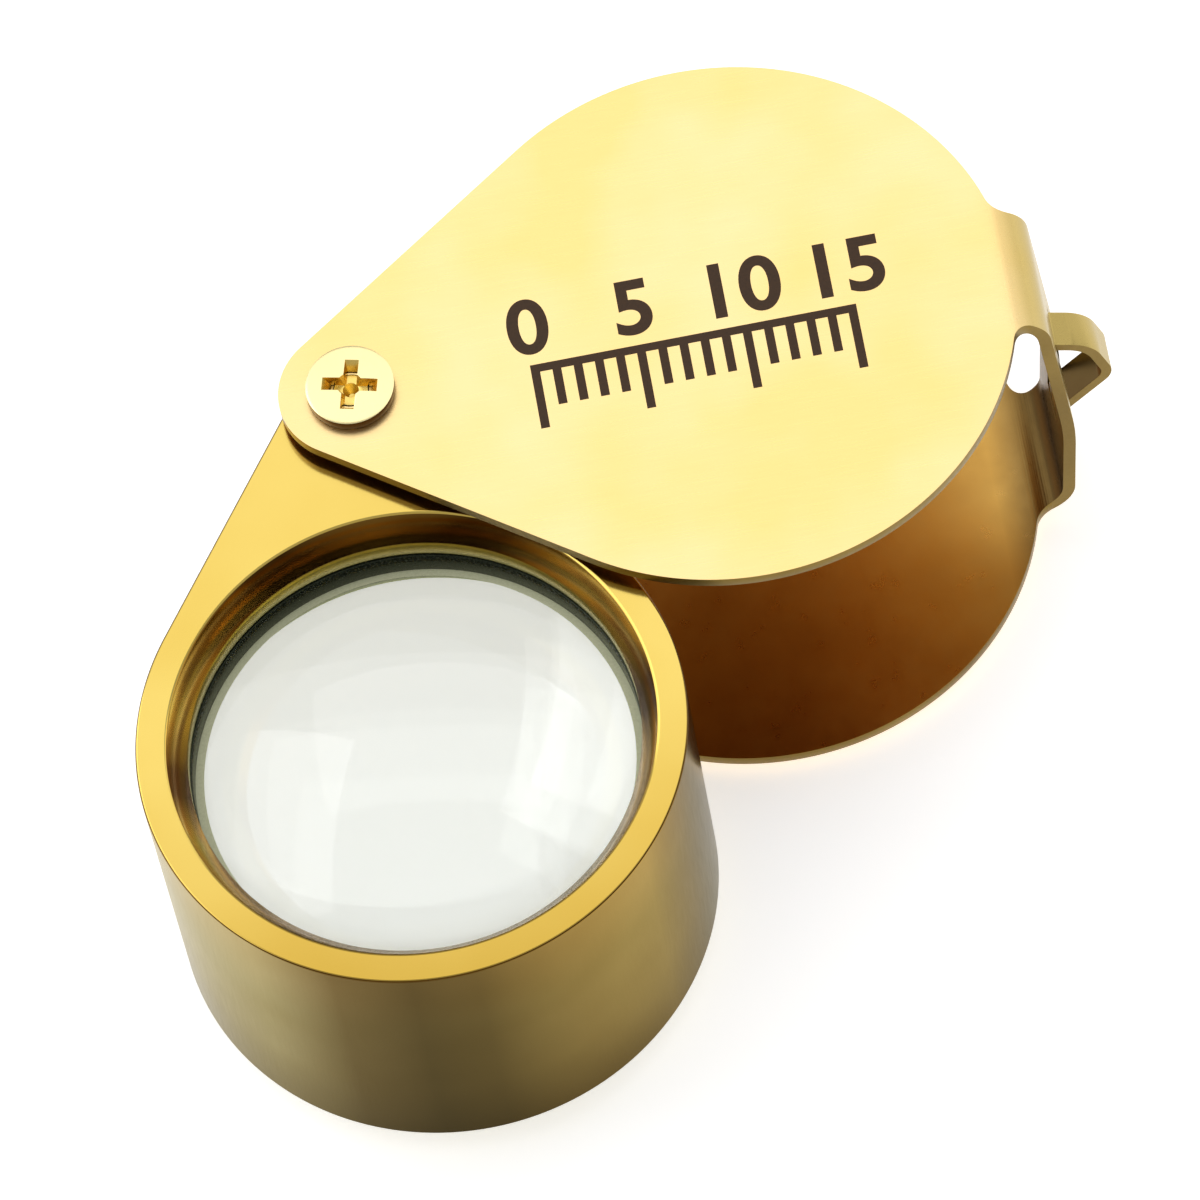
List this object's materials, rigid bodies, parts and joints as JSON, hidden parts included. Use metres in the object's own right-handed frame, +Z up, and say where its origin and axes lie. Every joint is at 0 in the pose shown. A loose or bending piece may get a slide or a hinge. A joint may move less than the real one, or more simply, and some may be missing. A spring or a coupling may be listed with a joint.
{
  "type": "folding hand lens",
  "caption": "Folding pocket magnifier: a round lens housing swings on a screw pivot out of a folded sheet-brass case with a hanging loop.",
  "frame": {"origin": "on the pivot axis, at the outer flat face of the pivot nut, the lowest face of the object", "axes": "+Z up the pivot axis from the nut to the screw head; +X from the pivot along the middle of the case to its bridge and hanging loop; the lens housing is swung out to -Y at rest"},
  "size_m": [0.048, 0.044, 0.02],
  "materials": {
    "satin_gold_brass": "satin brushed, gold plated",
    "polished_gold_brass": "polished, gold plated",
    "black_anodised_aluminium": "black anodised, semi-matt",
    "optical_glass": "polished optical surfaces",
    "screw_brass": "bright, pale gold plated",
    "washer_bronze": "plain sheet"
  },
  "bodies": {
    "case": {"folding_case": "satin_gold_brass", "pivot_screw": "screw_brass", "pivot_nut": "screw_brass", "friction_washer": "washer_bronze", "spring_washer": "washer_bronze"},
    "housing": {"lens_housing": "polished_gold_brass", "rear_bezel_ring": "polished_gold_brass", "lens_cell": "black_anodised_aluminium", "front_lens": "optical_glass", "front_spacer_ring": "black_anodised_aluminium", "middle_lens": "optical_glass", "rear_spacer_ring": "black_anodised_aluminium", "rear_lens": "optical_glass", "lens_lock_ring": "black_anodised_aluminium"}
  },
  "joints": [
    {"name": "housing_swing", "type": "hinge", "parent": "case", "child": "housing", "pos_m": [0, 0, 0.01], "axis": [0, 0, 1], "continuous": true}
  ]
}
